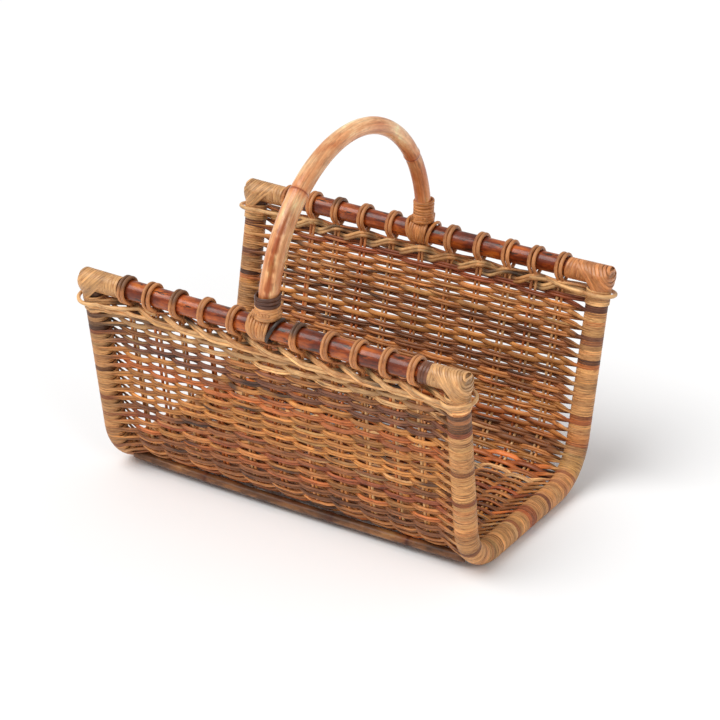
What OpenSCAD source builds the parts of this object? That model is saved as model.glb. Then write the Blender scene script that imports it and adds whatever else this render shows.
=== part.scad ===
// Wicker log basket: a rattan pole frame, open at both ends, with woven walls and
// base in one sweep and an arched carrying handle. Units are millimetres, +Z is up,
// X runs along the rails, and the origin is on the floor under the basket's middle.

/* [Frame] */
// Distance between the centre planes of the two end frames
frame_span = 516; // [440:1:600]
// Distance between the centres of the two top rails
mouth_w = 366; // [340:1:400]
// Distance between the points where the walls' lines meet the base line
base_w = 274; // [250:1:300]
// Height of the top rails' centres above the floor
rail_z = 280.5; // [250:0.5:320]
// Radius of the bottom corners, on the end frames' centre-line
bend_r = 64; // [56:1:70]
// Diameter of the bare end frame poles
pole_d = 23; // [20:0.5:25]
// Diameter of the end frames with their wrapping
wrap_d = 31; // [29:0.5:34]
// Diameter of the top rails
rail_d = 26; // [22:0.5:28]
// Length of a top rail beyond an end frame's centre plane
rail_overhang = 16; // [14:1:30]
// Diameter of the bottom rails
runner_d = 13; // [11:0.5:19]
// Height of the bottom rails' undersides above the floor
runner_lift = 7; // [0:0.5:9]

/* [Handle] */
// Diameter of the handle pole
handle_d = 26; // [22:0.5:28]
// Radius of the handle's arch, on its centre-line
handle_r = 180.5; // [176:0.5:184]
// Height of the handle's straight legs above the rails' centres
handle_leg = 12; // [8:1:60]
// Height of the lashing's lower edge above the rail's centre
band_z = 30; // [26:1:36]
// Height of the lashing that binds each handle leg
band_h = 14; // [10:1:18]
// Thickness of the handle's lashings
band_t = 3.5; // [2:0.5:4]
// Width of the skirt of strands that ties each leg to its rail
skirt_w = 34; // [30:1:38]
// Distance of each side loop from the handle's middle plane
side_loop_x = 24; // [22:1:26]

/* [Weave] */
// Number of stake pairs along the basket
stake_pairs = 11; // [11:2:11]
// Distance between the middles of neighbouring stake pairs
stake_pitch = 41; // [38:0.5:42]
// Sideways shift of the stake pairs half-way to the ends, away from the middle
stake_shift = 6; // [0:0.5:8]
// Distance between the two rods of a stake pair
pair_gap = 5.5; // [5.5:0.5:8]
// Diameter of a stake rod
stake_d = 4; // [3:0.5:4.5]
// Diameter of the rod where it loops over a top rail
loop_d = 5; // [4:0.2:5.2]
// Thickness of the woven walls and base
weave_t = 12; // [9:0.5:13]
// Thickness of the rope border along each wall's top
border_t = 16; // [13:0.5:18]
// Height of the rope border
border_h = 18; // [12:1:24]
// Open gap between the border and the top rail
border_gap = 5; // [3:0.5:8]

/* [Corners] */
// Diameter of the bound knob at each rail end
knob_d = 37; // [34:1:44]
// Depth of the knobs' centres below the rails' centres
knob_drop = 3; // [0:0.5:5]
// Diameter of the peel binding on the rail beside each knob
binding_d = 30; // [29:0.5:36]
// Length of rail that each corner binding covers
binding_len = 60; // [50:1:70]
// Distance of the corner rings' planes below the rails' centres
ring_drop = 24; // [22:1:32]
// Diameter of the strand that forms each corner ring
ring_d = 5.2; // [4:0.2:5.6]
// Gap between each corner ring and the wrapping of its end frame
ring_gap = 3.5; // [0.5:0.5:4]
// Angle that each corner ring spans round its end frame
ring_angle = 300; // [250:5:310]

/* [Nails] */
// Diameter of the frame nails
nail_d = 2.4; // [2:0.2:3]
// Diameter of the nail heads
nail_head_d = 5; // [4:0.5:6]
// Thickness of the nail heads
nail_head_t = 1.2; // [0.8:0.1:1.6]
// Depth of the nail heads below the pole's surface
nail_sink = 0.6; // [0.4:0.1:1]
// Length of the frame nails
nail_len = 45; // [40:1:60]

/* [Hidden] */

LEFT = -1;
RIGHT = 1;
FRONT = -1;
BACK = 1;
$fn = 48;

// Clearance between pieces that lie against each other
fit = 0.2;
// Depth by which the straight stretches of a bent pole run into its bends
lap = 0.5;
// Extra thickness of a bend, so that its ends close over the straight stretches
swell = 0.1;

frame_x = frame_span / 2;
frame_z = wrap_d / 2;
rail_y = mouth_w / 2;
rail_len = frame_span + 2 * rail_overhang;

// The walls lean outwards by this angle, and the corners turn through the rest.
lean = atan2((mouth_w - base_w) / 2, rail_z - frame_z);
turn = 90 - lean;
corner_run = bend_r * tan(turn / 2);
base_flat = base_w - 2 * corner_run;
// Length of a wall's straight stretch, from its bend to the rail's centre
wall_len = norm([(mouth_w - base_w) / 2, rail_z - frame_z]) - corner_run;

border_top = wall_len - rail_d / 2 - border_gap;
weave_top = border_top - border_h;
wrap_top = wall_len - knob_drop - knob_d / 2 - fit;

// The bottom rails lie against the outside of the bent weave.
runner_z = runner_lift + runner_d / 2;
runner_reach = bend_r + weave_t / 2 + runner_d / 2 + fit;
runner_y = base_flat / 2 + sqrt(pow(runner_reach, 2) - pow(frame_z + bend_r - runner_z, 2));
runner_len = frame_span - 0.85 * wrap_d;

loop_r = (rail_d + loop_d) / 2 + fit;
middle_pair = (stake_pairs - 1) / 2;

// Where a stake pair's middle is along the basket, counted from 0.
function stake_x(pair) =
    (pair - middle_pair) * stake_pitch
    + stake_shift * sin(180 * (pair - middle_pair) / middle_pair);

pole_tan = "#c98f55";
rail_brown = "#9c4f27";
runner_brown = "#6b4127";
handle_tan = "#d39a66";
stake_tan = "#b98a5c";
weave_honey = "#c08a56";
border_pale = "#c9a575";
peel_pale = "#d6b286";
lashing_brown = "#6f4a3a";
nail_grey = "#8a8a8a";

// ---- places in the frame; each works on the back half, and FRONT mirrors it ----

module on_side(side) {
    if (side == FRONT) mirror([0, 1, 0]) children();
    else children();
}

// Origin at the top of a bend, +Z up along the wall, +Y out of the basket.
module in_wall(side) {
    on_side(side)
        translate([0, base_w / 2 + corner_run * sin(lean), frame_z + corner_run * cos(lean)])
            rotate([-lean, 0, 0])
                children();
}

// A flat section, its x away from the bend's centre and its y along X, swept round a bend.
module round_bend(side) {
    on_side(side)
        translate([0, base_flat / 2, frame_z + bend_r])
            rotate([0, 90, 0])
                rotate_extrude(angle = turn, $fn = 96)
                    translate([bend_r, 0])
                        children();
}

// The same section, swept straight up a wall between two heights.
module up_wall(side, from, to) {
    in_wall(side)
        translate([0, 0, from])
            linear_extrude(height = to - from)
                mirror([1, -1])
                    children();
}

// The same section, swept straight across the base and a little into both bends.
module across_base(extra = 0) {
    translate([0, base_flat / 2 + extra, frame_z])
        rotate([90, 90, 0])
            linear_extrude(height = base_flat + 2 * extra)
                children();
}

// A round rod in one piece: up one wall, round both bends and up the other wall.
module bent_rod(x, d, top) {
    across_base(lap) translate([0, x]) circle(d = d);
    for (side = [FRONT, BACK]) {
        round_bend(side) translate([0, x]) circle(d = d + swell);
        up_wall(side, -lap, top) translate([0, x]) circle(d = d);
    }
}

module at_rail(side) {
    on_side(side) translate([0, rail_y, rail_z]) children();
}

// A round bar along the X axis, turned so that its seam line is clear of the nail holes.
module along_x(length, d) {
    rotate([0, 90, 0]) rotate(45) cylinder(h = length, d = d, center = true);
}

// A ring of round rod about the X axis.
module loop_round_rail(x) {
    translate([x, 0, 0])
        rotate([0, 90, 0])
            rotate_extrude($fn = 64)
                translate([loop_r, 0])
                    circle(d = loop_d);
}

// ---- flat sections ----

module wrap_section(end) {
    translate([0, end * frame_x])
        difference() {
            circle(d = wrap_d);
            circle(d = pole_d + 2 * fit);
        }
}

// A woven panel's section: a slab between the end frames with a channel for each stake rod.
module panel_section(thickness) {
    difference() {
        square([thickness, frame_span], center = true);
        for (end = [LEFT, RIGHT])
            translate([0, end * frame_x]) circle(d = wrap_d + 2 * fit);
        for (pair = [0 : stake_pairs - 1], rod = [-0.5, 0.5])
            translate([0, stake_x(pair) + rod * pair_gap])
                circle(d = stake_d + 2 * fit, $fn = 24);
    }
}

// ---- frame ----

module end_frame(end) {
    color(pole_tan)
        difference() {
            bent_rod(end * frame_x, pole_d, wall_len);
            for (side = [FRONT, BACK]) {
                at_rail(side) along_x(rail_len + 2, rail_d + 2 * fit);
                at_frame_nail(end, side) nail_hole();
            }
        }
}

module top_rail(side) {
    color(rail_brown)
        difference() {
            at_rail(side) along_x(rail_len, rail_d);
            for (end = [LEFT, RIGHT]) at_frame_nail(end, side) nail_hole();
            at_handle_nail(side) nail_hole();
        }
}

// The ends are hollowed to sit against the wrapped end frames.
module bottom_rail(side) {
    color(runner_brown)
        difference() {
            on_side(side) translate([0, runner_y, runner_z]) along_x(runner_len, runner_d);
            for (end = [LEFT, RIGHT])
                round_bend(side)
                    translate([0, end * frame_x]) circle(d = wrap_d + 2 * fit);
        }
}

module handle() {
    color(handle_tan)
        difference() {
            translate([0, 0, rail_z]) {
                translate([0, 0, handle_leg])
                    rotate([90, 0, 90])
                        rotate_extrude(angle = 180, $fn = 128)
                            translate([handle_r, 0]) circle(d = handle_d);
                for (side = [FRONT, BACK])
                    translate([0, side * handle_r, 0]) cylinder(h = handle_leg, d = handle_d);
            }
            for (side = [FRONT, BACK]) {
                at_rail(side) along_x(2 * handle_d, rail_d + 2 * fit);
                at_handle_nail(side) nail_hole();
            }
        }
}

// ---- weave ----

// Two rods that run down one wall, under the base and up the other, each looped over
// both top rails. The middle pair stops under the rails, where the handle is tied.
module stake_pair(pair) {
    looped = pair != middle_pair;
    top = looped ? wall_len - loop_r : border_top;
    color(stake_tan)
        for (rod = [-0.5, 0.5]) {
            x = stake_x(pair) + rod * pair_gap;
            bent_rod(x, stake_d, top);
            if (looped)
                for (side = [FRONT, BACK]) at_rail(side) loop_round_rail(x);
        }
}

module weave_wall(side) {
    color(weave_honey) up_wall(side, 0, weave_top) panel_section(weave_t);
}

module weave_bend(side) {
    color(weave_honey) round_bend(side) panel_section(weave_t);
}

module weave_base() {
    color(weave_honey) across_base() panel_section(weave_t);
}

module border(side) {
    color(border_pale) up_wall(side, weave_top, border_top) panel_section(border_t);
}

// ---- end frame wrapping ----

module wrap_wall(side, end) {
    color(peel_pale) up_wall(side, 0, wrap_top) wrap_section(end);
}

module wrap_bend(side, end) {
    color(peel_pale) round_bend(side) wrap_section(end);
}

module wrap_base(end) {
    color(peel_pale) across_base() wrap_section(end);
}

// ---- corners ----

// A single strand that leaves the border, hoops round the wrapped end frame and returns.
module corner_ring(side, end) {
    color(peel_pale)
        in_wall(side)
            translate([end * frame_x, 0, wall_len - ring_drop])
                rotate((end == RIGHT ? 0 : 180) - ring_angle / 2)
                    rotate_extrude(angle = ring_angle)
                        translate([(wrap_d + ring_d) / 2 + ring_gap, 0])
                            circle(d = ring_d, $fn = 32);
}

// Peel wound round the rail and crossed over the joint into a knob with a flat outer end.
module corner_binding(side, end) {
    rail_end = rail_len / 2;
    color(peel_pale)
        difference() {
            at_rail(side) {
                translate([end * (rail_end - binding_len / 2), 0, 0])
                    along_x(binding_len, binding_d);
                intersection() {
                    translate([end * frame_x, 0, -knob_drop]) sphere(d = knob_d, $fn = 64);
                    translate([end * (rail_end - knob_d), 0, 0]) cube(2 * knob_d, center = true);
                }
            }
            at_rail(side) along_x(rail_len + 2, rail_d + 2 * fit);
            up_wall(side, wall_len - knob_d, wall_len)
                translate([0, end * frame_x]) circle(d = pole_d + 2 * fit);
            at_frame_nail(end, side) nail_hole();
        }
}

// ---- handle lashings ----

// The lower end of a handle leg at any diameter, seen from its own rail's centre.
module handle_foot(d) {
    translate([0, handle_r - rail_y, 0]) cylinder(h = handle_leg, d = d);
    translate([0, -rail_y, handle_leg])
        rotate([90, 0, 90])
            rotate_extrude(angle = 30, $fn = 128)
                translate([handle_r, 0]) circle(d = d);
}

module handle_band(side) {
    color(lashing_brown)
        at_rail(side)
            intersection() {
                difference() {
                    handle_foot(handle_d + 2 * band_t);
                    handle_foot(handle_d + 2 * fit);
                }
                translate([0, 0, band_z + band_h / 2])
                    cube([2 * handle_d, 2 * handle_d, band_h], center = true);
            }
}

// Strands that fan out from the leg over the rail and close under it.
module handle_skirt(side) {
    color(peel_pale)
        at_rail(side)
            difference() {
                union() {
                    along_x(skirt_w, rail_d + 2 * band_t);
                    translate([0, handle_r - rail_y, 0])
                        cylinder(h = band_z - fit, d1 = skirt_w, d2 = handle_d + 2 * band_t);
                }
                along_x(2 * skirt_w, rail_d + 2 * fit);
                handle_foot(handle_d + 2 * fit);
            }
}

module handle_side_loops(side) {
    color(lashing_brown)
        at_rail(side)
            for (x = [-side_loop_x, side_loop_x]) loop_round_rail(x);
}

// ---- nails, hidden under the bindings ----

// A nail driven down from the pole's surface at the origin.
module nail() {
    translate([0, 0, -nail_len]) cylinder(h = nail_len - nail_sink, d = nail_d, $fn = 24);
    translate([0, 0, -nail_sink - nail_head_t])
        cylinder(h = nail_head_t, d = nail_head_d, $fn = 24);
}

// The hole that a nail leaves, open at the pole's surface.
module nail_hole() {
    translate([0, 0, -nail_len - fit])
        cylinder(h = nail_len, d = nail_d + fit, $fn = 24);
    translate([0, 0, -nail_sink - nail_head_t - fit])
        cylinder(h = nail_head_d, d = nail_head_d + fit, $fn = 24);
}

// Down through a top rail into the end of an end frame's pole.
module at_frame_nail(end, side) {
    in_wall(side) translate([end * frame_x, 0, wall_len + rail_d / 2]) children();
}

// Up through a top rail into a handle leg.
module at_handle_nail(side) {
    at_rail(side) translate([0, handle_r - rail_y, -rail_d / 2]) rotate([180, 0, 0]) children();
}

module frame_nails() {
    color(nail_grey)
        for (end = [LEFT, RIGHT], side = [FRONT, BACK]) at_frame_nail(end, side) nail();
}

module handle_nails() {
    color(nail_grey)
        for (side = [FRONT, BACK]) at_handle_nail(side) nail();
}

end_frame(LEFT);  // end_frame_left
end_frame(RIGHT);  // end_frame_right
top_rail(FRONT);  // top_rail_front
top_rail(BACK);  // top_rail_back
bottom_rail(FRONT);  // bottom_rail_front
bottom_rail(BACK);  // bottom_rail_back
handle();
stake_pair(0);  // stake_pair_01
stake_pair(1);  // stake_pair_02
stake_pair(2);  // stake_pair_03
stake_pair(3);  // stake_pair_04
stake_pair(4);  // stake_pair_05
stake_pair(5);  // stake_pair_06
stake_pair(6);  // stake_pair_07
stake_pair(7);  // stake_pair_08
stake_pair(8);  // stake_pair_09
stake_pair(9);  // stake_pair_10
stake_pair(10);  // stake_pair_11
weave_wall(FRONT);  // weave_wall_front
weave_bend(FRONT);  // weave_bend_front
weave_base();
weave_bend(BACK);  // weave_bend_back
weave_wall(BACK);  // weave_wall_back
border(FRONT);  // border_front
border(BACK);  // border_back
wrap_wall(FRONT, LEFT);  // wrap_wall_front_left
wrap_wall(FRONT, RIGHT);  // wrap_wall_front_right
wrap_bend(FRONT, LEFT);  // wrap_bend_front_left
wrap_bend(FRONT, RIGHT);  // wrap_bend_front_right
wrap_base(LEFT);  // wrap_base_left
wrap_base(RIGHT);  // wrap_base_right
wrap_bend(BACK, LEFT);  // wrap_bend_back_left
wrap_bend(BACK, RIGHT);  // wrap_bend_back_right
wrap_wall(BACK, LEFT);  // wrap_wall_back_left
wrap_wall(BACK, RIGHT);  // wrap_wall_back_right
corner_ring(FRONT, LEFT);  // corner_ring_front_left
corner_ring(FRONT, RIGHT);  // corner_ring_front_right
corner_ring(BACK, LEFT);  // corner_ring_back_left
corner_ring(BACK, RIGHT);  // corner_ring_back_right
corner_binding(FRONT, LEFT);  // corner_binding_front_left
corner_binding(FRONT, RIGHT);  // corner_binding_front_right
corner_binding(BACK, LEFT);  // corner_binding_back_left
corner_binding(BACK, RIGHT);  // corner_binding_back_right
handle_band(FRONT);  // handle_band_front
handle_band(BACK);  // handle_band_back
handle_skirt(FRONT);  // handle_skirt_front
handle_skirt(BACK);  // handle_skirt_back
handle_side_loops(FRONT);  // handle_side_loops_front
handle_side_loops(BACK);  // handle_side_loops_back
frame_nails();
handle_nails();
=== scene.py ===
import math

import bpy
import numpy as np
from mathutils import Matrix, Vector
from mathutils.geometry import convex_hull_2d


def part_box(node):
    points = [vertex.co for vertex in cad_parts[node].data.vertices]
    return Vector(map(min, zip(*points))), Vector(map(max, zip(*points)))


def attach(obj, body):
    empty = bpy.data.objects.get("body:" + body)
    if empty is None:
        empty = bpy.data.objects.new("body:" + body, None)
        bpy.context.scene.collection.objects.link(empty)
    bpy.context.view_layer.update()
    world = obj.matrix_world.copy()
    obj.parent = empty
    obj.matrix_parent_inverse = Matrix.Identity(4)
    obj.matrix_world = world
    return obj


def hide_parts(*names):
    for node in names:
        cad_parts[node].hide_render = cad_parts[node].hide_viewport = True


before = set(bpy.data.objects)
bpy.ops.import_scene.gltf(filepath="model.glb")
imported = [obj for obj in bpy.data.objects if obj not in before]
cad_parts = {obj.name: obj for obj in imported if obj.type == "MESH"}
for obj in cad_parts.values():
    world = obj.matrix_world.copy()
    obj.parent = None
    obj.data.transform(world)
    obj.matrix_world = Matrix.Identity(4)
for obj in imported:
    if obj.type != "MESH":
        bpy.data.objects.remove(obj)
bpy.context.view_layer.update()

MM = 0.001
FACING = {-1: "front", 1: "back"}
HAND = {-1: "left", 1: "right"}

# ---------------------------------------------------------------- the frame's own sizes


def box(node):
    """The low and high corners of a CAD node."""
    low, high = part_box(node)
    return np.array(low), np.array(high)


def middle_x(node):
    """The middle of a CAD node along the basket."""
    low, high = box(node)
    return float(np.mean([low[0], high[0]]))


RAIL_LOW, RAIL_HIGH = box("top_rail_back")
POLE_LOW, POLE_HIGH = box("end_frame_right")
WRAP_LOW, WRAP_HIGH = box("wrap_base_right")
RUNNER_LOW, RUNNER_HIGH = box("bottom_rail_back")
HANDLE_LOW, HANDLE_HIGH = box("handle")

RAIL_R = (RAIL_HIGH[2] - RAIL_LOW[2]) / 2
RAIL_Y = (RAIL_HIGH[1] + RAIL_LOW[1]) / 2
RAIL_Z = (RAIL_HIGH[2] + RAIL_LOW[2]) / 2
RAIL_END = RAIL_HIGH[0]
FRAME_X = (POLE_HIGH[0] + POLE_LOW[0]) / 2
FRAME_Z = (WRAP_HIGH[2] + WRAP_LOW[2]) / 2
BASE_HALF = WRAP_HIGH[1]
BEND_R = 64 * MM
HANDLE_R = (HANDLE_HIGH[0] - HANDLE_LOW[0]) / 2
STAKES = [middle_x(f"stake_pair_{number:02d}") for number in range(1, 12)]

# The end frames' centre line: half the base, a bend, then a straight leaning leg up to the rail.
RISE_Y = RAIL_Y - BASE_HALF
RISE_Z = RAIL_Z - FRAME_Z - BEND_R
WALL = math.sqrt(RISE_Y**2 + RISE_Z**2 - BEND_R**2)
LEAN = math.atan2(WALL, BEND_R) - math.atan2(RISE_Z, RISE_Y)
TURN = math.pi / 2 - LEAN
BEND_END = BASE_HALF + BEND_R * TURN
TOP = BEND_END + WALL

# Where the wrapping lies on the end frames, and how the strands come on to it.
WRAP_R = 13.9 * MM
MEETING_ANGLE = math.radians(106)
MEETING_SLOPE = 0.28


def profile(s):
    """The frames' centre line at arc length s from the middle of the base, and its outward normal."""
    a = np.abs(s)
    side = np.where(s < 0, -1.0, 1.0)
    bend = np.clip((a - BASE_HALF) / BEND_R, 0, TURN)
    rise = np.clip(a - BEND_END, 0, None)
    y = np.minimum(a, BASE_HALF) + BEND_R * np.sin(bend) + rise * math.sin(LEAN)
    z = FRAME_Z + BEND_R * (1 - np.cos(bend)) + rise * math.cos(LEAN)
    return side * y, z, side * np.sin(bend), -np.cos(bend)


def place(x, s, off):
    """Points at x along the basket, s up the wall and off outwards from it."""
    x, s, off = np.broadcast_arrays(np.asarray(x, float), s, off)
    y, z, ny, nz = profile(s)
    return np.stack([x, y + off * ny, z + off * nz], -1)


def along(s):
    """Unit vectors up the wall at s."""
    y, _, ny, nz = profile(np.asarray(s, float))
    return np.stack([np.zeros_like(y), -nz, ny], -1)


def unit(v):
    """Vectors brought to length one."""
    return v / np.maximum(np.linalg.norm(v, axis=-1, keepdims=True), 1e-12)


def outward(path, s):
    """The direction out of the wall, square to a path at level s."""
    return np.cross(along(s), unit(np.gradient(path, axis=0)))


def run_of(path):
    """The distance covered at each point of a path."""
    return np.concatenate([[0], np.cumsum(np.linalg.norm(np.diff(path, axis=0), axis=1))])


def smooth(t):
    """A smooth step from 0 to 1."""
    t = np.clip(t, 0, 1)
    return t * t * (3 - 2 * t)


def eased(values):
    """A row of values or points, each drawn towards its neighbours, with the ends kept."""
    values = values.copy()
    values[1:-1] = (values[:-2] + 2 * values[1:-1] + values[2:]) / 4
    return values


def lin(r, g, b):
    """A screen colour as linear light."""
    c = np.array([r, g, b]) / 255
    return np.where(c <= 0.04045, c / 12.92, ((c + 0.055) / 1.055) ** 2.4)


def ripple(rng, x, span):
    """A smooth random curve from about -1 to 1 along x, repeating after span."""
    total = np.zeros_like(x)
    for octave in range(3):
        total += np.sin(2 * math.pi * x * (octave + 1) / span + rng.uniform(0, 6.28)) / (octave + 1)
    return total / 1.5


# ---------------------------------------------------------------- swept strands


class Strands:
    """Swept strands gathered into one mesh, each point with a tone and its place in the grain."""

    GRAIN_STEP = 0.13

    def __init__(self):
        self.points = []
        self.faces = []
        self.tones = []
        self.grains = []
        self.count = 0
        self.number = 0

    def sweep(self, path, up, half_width, half_height, tone, sides=8, closed=False, square=1.0):
        """A strand along a path: half_width across it, half_height along up, boxier with a lower square."""
        rows = len(path)
        if closed:
            tangent = unit(np.roll(path, -1, 0) - np.roll(path, 1, 0))
            step = np.linalg.norm(path - np.roll(path, 1, 0), axis=1)
        else:
            tangent = unit(np.gradient(path, axis=0))
            step = np.linalg.norm(np.diff(path, axis=0, prepend=path[:1]), axis=1)
        up = unit(up - tangent * np.sum(up * tangent, 1)[:, None])
        across = np.cross(tangent, up)
        turn = 2 * math.pi * (np.arange(sides) + 0.5) / sides
        flat = np.sign(np.cos(turn)) * np.abs(np.cos(turn)) ** square
        tall = np.sign(np.sin(turn)) * np.abs(np.sin(turn)) ** square
        width = np.broadcast_to(half_width, rows)[:, None] * flat
        height = np.broadcast_to(half_height, rows)[:, None] * tall
        ring = path[:, None] + width[..., None] * across[:, None] + height[..., None] * up[:, None]
        if np.ndim(tone) < 3:
            tone = np.repeat(np.broadcast_to(tone, (rows, 3))[:, None], sides, 1)
        run = np.repeat(np.cumsum(step), sides)
        depth = height.ravel() + self.GRAIN_STEP * self.number
        self.number += 1
        self.gather(ring, tone.reshape(-1, 3), np.stack([run, width.ravel(), depth], 1), closed)

    def gather(self, rings, tones, grains, closed=False):
        """Rings of points, joined by faces, and capped at both ends unless they go round."""
        rows, sides = rings.shape[:2]
        self.points.append(rings.reshape(-1, 3))
        self.tones.append(tones)
        self.grains.append(grains)
        i, j = np.meshgrid(np.arange(rows if closed else rows - 1), np.arange(sides), indexing="ij")
        i2 = (i + 1) % rows
        j2 = (j + 1) % sides
        quads = np.stack([i * sides + j, i2 * sides + j, i2 * sides + j2, i * sides + j2], -1)
        self.faces.append(quads.reshape(-1, 4) + self.count)
        if not closed:
            k = np.arange(sides // 2 - 1)
            cap = np.stack([k, k + 1, sides - 2 - k, sides - 1 - k], 1)
            self.faces.append(cap + self.count)
            self.faces.append(cap[:, ::-1] + self.count + (rows - 1) * sides)
        self.count += rows * sides

    def mesh(self, name):
        """All the strands as one mesh of quads with its tone and grain."""
        points = np.concatenate(self.points)
        faces = np.concatenate(self.faces)
        tones = np.clip(np.concatenate(self.tones), 0, 2)
        mesh = bpy.data.meshes.new(name)
        mesh.vertices.add(len(points))
        mesh.vertices.foreach_set("co", points.ravel())
        mesh.loops.add(faces.size)
        mesh.loops.foreach_set("vertex_index", faces.ravel().astype(np.int32))
        mesh.polygons.add(len(faces))
        mesh.polygons.foreach_set("loop_start", (np.arange(len(faces)) * 4).astype(np.int32))
        mesh.polygons.foreach_set("use_smooth", np.ones(len(faces), bool))
        mesh.update(calc_edges=True)
        colour = mesh.attributes.new("tone", "FLOAT_COLOR", "POINT")
        rgba = np.concatenate([tones, np.ones((len(tones), 1))], 1)
        colour.data.foreach_set("color", rgba.ravel().astype(np.float32))
        grain = mesh.attributes.new("grain", "FLOAT_VECTOR", "POINT")
        grain.data.foreach_set("vector", np.concatenate(self.grains).ravel().astype(np.float32))
        return mesh

    def build(self, name, material, slot, *nodes):
        """One piece of the visual model, in place of the CAD nodes it stands for."""
        mesh = self.mesh(name)
        mesh.materials.append(material)
        obj = bpy.data.objects.new(name, mesh)
        bpy.context.scene.collection.objects.link(obj)
        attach(obj, "root")
        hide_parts(*nodes)


# ---------------------------------------------------------------- materials


class Nodes:
    """A material being put together."""

    def __init__(self, name):
        self.material = bpy.data.materials.new(name)
        self.material.use_nodes = True
        self.tree = self.material.node_tree
        self.shader = self.tree.nodes["Principled BSDF"]

    def add(self, kind, **settings):
        """A node of a kind, with its own settings."""
        node = self.tree.nodes.new(kind)
        for key, value in settings.items():
            setattr(node, key, value)
        return node

    def link(self, source, target):
        """A wire from one socket to another."""
        self.tree.links.new(source, target)

    def attribute(self, name):
        """A mesh attribute."""
        return self.add("ShaderNodeAttribute", attribute_name=name)

    def grain(self, scale, detail=3.0, rough=0.6):
        """Noise in the grain coordinate, scaled along the strand, across it and through it."""
        mapping = self.add("ShaderNodeMapping")
        mapping.inputs["Scale"].default_value = scale
        self.link(self.attribute("grain").outputs["Vector"], mapping.inputs["Vector"])
        return self.noise(mapping.outputs["Vector"], 1.0, detail, rough)

    def noise(self, vector, scale, detail, rough):
        """Noise over a vector."""
        node = self.add("ShaderNodeTexNoise")
        node.inputs["Scale"].default_value = scale
        node.inputs["Detail"].default_value = detail
        node.inputs["Roughness"].default_value = rough
        self.link(vector, node.inputs["Vector"])
        return node.outputs["Fac"]

    def ramp(self, value, *stops):
        """A colour ramp through stops, each a position and a colour."""
        node = self.add("ShaderNodeValToRGB")
        elements = node.color_ramp.elements
        while len(elements) < len(stops):
            elements.new(0.5)
        for element, (position, colour) in zip(elements, stops):
            element.position = position
            element.color = (*colour, 1)
        self.link(value, node.inputs["Fac"])
        return node.outputs["Color"]

    def mix(self, kind, factor, a, b):
        """Two colours mixed, each a socket or a plain value."""
        node = self.add("ShaderNodeMix", data_type="RGBA", blend_type=kind)
        for name, value in (("Factor", factor), ("A", a), ("B", b)):
            if isinstance(value, tuple):
                node.inputs[name].default_value = (*value, 1)
            elif isinstance(value, float):
                node.inputs[name].default_value = value
            else:
                self.link(value, node.inputs[name])
        return node.outputs["Result"]

    def span(self, value, low, high):
        """Noise spread from low to high."""
        node = self.add("ShaderNodeMapRange")
        node.inputs["From Min"].default_value = 0.3
        node.inputs["From Max"].default_value = 0.7
        node.inputs["To Min"].default_value = low
        node.inputs["To Max"].default_value = high
        self.link(value, node.inputs["Value"])
        return node.outputs["Result"]

    def bump(self, height, strength, distance):
        """Fine relief on the surface."""
        node = self.add("ShaderNodeBump")
        node.inputs["Strength"].default_value = strength
        node.inputs["Distance"].default_value = distance
        self.link(height, node.inputs["Height"])
        self.link(node.outputs["Normal"], self.shader.inputs["Normal"])

    def finish(self, coat, coat_rough, specular):
        """The varnish over the surface."""
        self.shader.inputs["Coat Weight"].default_value = coat
        self.shader.inputs["Coat Roughness"].default_value = coat_rough
        self.shader.inputs["Specular IOR Level"].default_value = specular


def grey(v):
    """A grey of value v."""
    return (v, v, v)


def cane(name, rough, coat, dark, fibre):
    """Split or whole cane: its tone, streaks along it, dark scars and fine fibres."""
    n = Nodes(name)
    tone = n.attribute("tone").outputs["Color"]
    streaks = n.grain((25, 700, 700), 4.0, 0.65)
    blotches = n.grain((60, 120, 120))
    scars = n.grain((38, 260, 260), 2.0, 0.7)
    light = n.ramp(streaks, (0.32, grey(0.66)), (0.5, grey(0.97)), (0.7, grey(1.18)))
    colour = n.mix("MULTIPLY", 1.0, tone, light)
    warm = n.ramp(blotches, (0.3, (0.62, 0.45, 0.33)), (0.5, (1.02, 0.97, 0.87)), (0.68, (1.22, 1.14, 0.98)))
    colour = n.mix("MULTIPLY", 1.0, colour, warm)
    scar = n.ramp(scars, (0.6, grey(0.0)), (0.72, grey(dark)))
    colour = n.mix("MIX", scar, colour, tuple(lin(58, 38, 28)))
    n.link(colour, n.shader.inputs["Base Color"])
    n.link(n.span(blotches, rough + 0.1, rough - 0.08), n.shader.inputs["Roughness"])
    n.finish(coat, 0.3, 0.38)
    n.bump(n.grain((40, 2600, 2600)), fibre, 0.3 * MM)
    return n.material


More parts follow.
